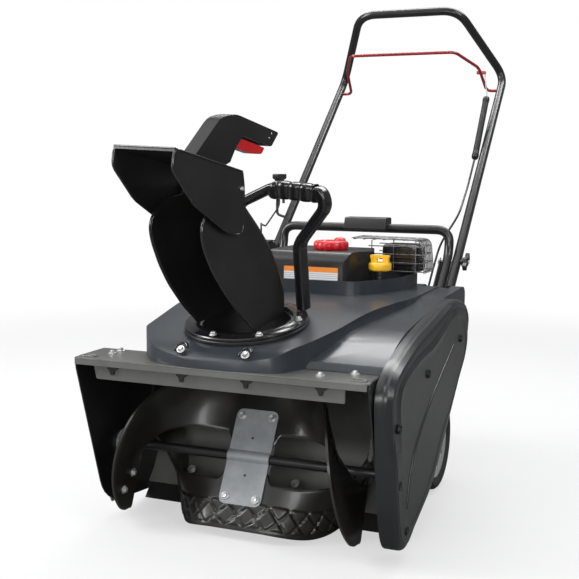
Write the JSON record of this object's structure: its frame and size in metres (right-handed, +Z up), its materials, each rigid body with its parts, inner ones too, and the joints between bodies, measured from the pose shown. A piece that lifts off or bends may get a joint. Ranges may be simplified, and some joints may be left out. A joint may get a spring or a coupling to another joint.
{
  "type": "snow blower",
  "caption": "Single-stage walk-behind petrol snow blower: rubber-paddle auger in a steel housing, turning chute with tilting deflector, folding handle with clutch bail.",
  "frame": {"origin": "middle of the footprint on the ground", "axes": "+Z up; -Y is the front, where the auger is; +Y is where the operator walks; +X is the belt side"},
  "size_m": [0.614, 1.515, 1.1229],
  "materials": {
    "black_paint": "semi-gloss black powder coat",
    "black_plastic": "moulded black polyethylene, satin",
    "shroud_plastic": "dark blue-grey moulded plastic, semi-gloss",
    "auger_rubber": "reinforced rubber, satin",
    "tyre": "matt rubber",
    "plate_steel": "grey coated steel",
    "zinc_steel": "zinc plated",
    "red_plastic": "glossy red",
    "red_paint": "dark red powder coat",
    "yellow_plastic": "glossy yellow",
    "rim_plastic": "light grey moulded plastic",
    "cast_alloy": "as cast"
  },
  "bodies": {
    "frame": {"chute_collar": "black_plastic", "auger_housing": "black_paint", "side_plate_left": "black_paint", "side_plate_right": "black_paint", "front_stiffener": "black_paint", "scraper_bar": "black_plastic", "bearing_left": "plate_steel", "bearing_right": "plate_steel", "drive_belt": "auger_rubber", "belt_cover": "black_plastic", "chassis_plate_left": "black_paint", "chassis_plate_right": "black_paint", "engine_deck": "black_paint", "axle": "zinc_steel", "shroud": "shroud_plastic", "engine_block": "cast_alloy", "engine_cover": "black_plastic", "oil_tube": "black_plastic", "muffler": "black_paint", "muffler_guard": "zinc_steel", "recoil_housing": "black_plastic", "lower_handle": "black_paint", "handle_bolt_left": "zinc_steel", "handle_bolt_right": "zinc_steel", "control_box": "black_plastic", "cable_jacket": "black_plastic", "starter_rope": "black_plastic"},
    "auger": {"auger_shaft": "black_paint", "auger_flight_a": "auger_rubber", "auger_flight_b": "auger_rubber", "clamp_front": "plate_steel", "clamp_rear": "plate_steel", "auger_pulley": "cast_alloy"},
    "crank": {"engine_pulley": "cast_alloy"},
    "idler": {"idler_arm": "zinc_steel"},
    "idler_wheel": {"idler_pulley": "cast_alloy"},
    "wheel_left": {"tyre_left": "tyre", "rim_left": "rim_plastic"},
    "wheel_right": {"tyre_right": "tyre", "rim_right": "rim_plastic"},
    "chute": {"chute_ring": "black_plastic", "chute_trough": "black_plastic", "chute_handle": "black_plastic", "hinge_pin": "zinc_steel"},
    "deflector": {"deflector": "black_plastic", "deflector_grip": "black_plastic"},
    "trigger": {"deflector_trigger": "red_plastic"},
    "fuel_cap": {"fuel_cap": "red_plastic"},
    "choke_knob": {"choke_knob": "red_plastic"},
    "oil_cap": {"oil_cap": "yellow_plastic"},
    "handle": {"upper_handle": "black_paint", "cable_boot": "black_plastic", "rope_guide": "black_paint"},
    "bail": {"bail": "red_paint"},
    "cable_wire": {"cable_wire": "zinc_steel"},
    "wing_knob_left": {"wing_knob_left": "black_plastic"},
    "wing_knob_right": {"wing_knob_right": "black_plastic"},
    "start_button": {"start_button": "red_plastic"},
    "ignition_key": {"ignition_key": "red_plastic"},
    "starter_grip": {"starter_grip": "black_plastic"}
  },
  "joints": [
    {"name": "auger_spin", "type": "hinge", "parent": "frame", "child": "auger", "pos_m": [-0.013, -0.44318, 0.139], "axis": [1, 0, 0], "continuous": true},
    {"name": "engine_spin", "type": "hinge", "parent": "frame", "child": "crank", "pos_m": [0.277, -0.16018, 0.348], "axis": [1, 0, 0], "continuous": true},
    {"name": "bail_swing", "type": "hinge", "parent": "handle", "child": "bail", "pos_m": [-0.013, 0.71482, 0.90617], "axis": [1, 0, 0], "range_deg": [-26, 0], "stiffness_Nm_per_rad": 2.5},
    {"name": "idler_swing", "type": "hinge", "parent": "frame", "child": "idler", "pos_m": [0.282, -0.29018, 0.11], "axis": [1, 0, 0], "range_deg": [0, 3]},
    {"name": "idler_spin", "type": "hinge", "parent": "idler", "child": "idler_wheel", "pos_m": [0.282, -0.25918, 0.187], "axis": [1, 0, 0], "continuous": true},
    {"name": "wheel_left_spin", "type": "hinge", "parent": "frame", "child": "wheel_left", "pos_m": [-0.267, -0.06118, 0.101], "axis": [1, 0, 0], "continuous": true},
    {"name": "wheel_right_spin", "type": "hinge", "parent": "frame", "child": "wheel_right", "pos_m": [0.241, -0.06118, 0.101], "axis": [1, 0, 0], "continuous": true},
    {"name": "chute_rotate", "type": "hinge", "parent": "frame", "child": "chute", "pos_m": [-0.013, -0.46118, 0.405], "axis": [0, -0.1874, 0.9823], "range_deg": [-87, 113]},
    {"name": "deflector_tilt", "type": "hinge", "parent": "chute", "child": "deflector", "pos_m": [-0.02785, -0.57344, 0.65031], "axis": [0.9744, -0.221, -0.0422], "range_deg": [-12, 30]},
    {"name": "trigger_squeeze", "type": "hinge", "parent": "deflector", "child": "trigger", "pos_m": [0.0041, -0.44502, 0.71553], "axis": [0.9744, -0.221, -0.0422], "range_deg": [-5, 0], "stiffness_Nm_per_rad": 1.5},
    {"name": "fuel_cap_turn", "type": "hinge", "parent": "frame", "child": "fuel_cap", "pos_m": [0.009, -0.06718, 0.508], "axis": [0, 0, 1], "range_deg": [0, 120]},
    {"name": "choke_knob_turn", "type": "hinge", "parent": "frame", "child": "choke_knob", "pos_m": [0.005, 0.00282, 0.508], "axis": [0, 0, 1], "range_deg": [0, 90]},
    {"name": "oil_cap_turn", "type": "hinge", "parent": "frame", "child": "oil_cap", "pos_m": [0.127, -0.08518, 0.468], "axis": [0, 0, 1], "range_deg": [0, 90]},
    {"name": "handle_fold", "type": "hinge", "parent": "frame", "child": "handle", "pos_m": [-0.013, 0.21982, 0.46661], "axis": [1, 0, 0], "range_deg": [-60, 0]},
    {"name": "cable_pull", "type": "slide", "parent": "handle", "child": "cable_wire", "axis": [0, 0.622, 0.783], "range_m": [0, 0.036]},
    {"name": "wing_knob_left_turn", "type": "hinge", "parent": "handle", "child": "wing_knob_left", "pos_m": [-0.268, 0.21982, 0.46661], "axis": [1, 0, 0], "continuous": true},
    {"name": "wing_knob_right_turn", "type": "hinge", "parent": "handle", "child": "wing_knob_right", "pos_m": [0.242, 0.21982, 0.46661], "axis": [1, 0, 0], "continuous": true},
    {"name": "start_button_press", "type": "slide", "parent": "frame", "child": "start_button", "axis": [0, -1, 0], "range_m": [0, 0.004], "stiffness_N_per_m": 600},
    {"name": "key_turn", "type": "hinge", "parent": "frame", "child": "ignition_key", "pos_m": [0.018, 0.26282, 0.555], "axis": [0, 1, 0], "range_deg": [0, 45]},
    {"name": "starter_pull", "type": "slide", "parent": "handle", "child": "starter_grip", "axis": [0, 0.5, 0.866], "range_m": [0, 0.25]}
  ],
  "couplings": [
    {"joint": "engine_spin", "follows": "auger_spin", "ratio": 2.65},
    {"joint": "idler_swing", "follows": "bail_swing", "ratio": -0.115},
    {"joint": "cable_pull", "follows": "bail_swing", "m_per_rad": -0.0765}
  ]
}
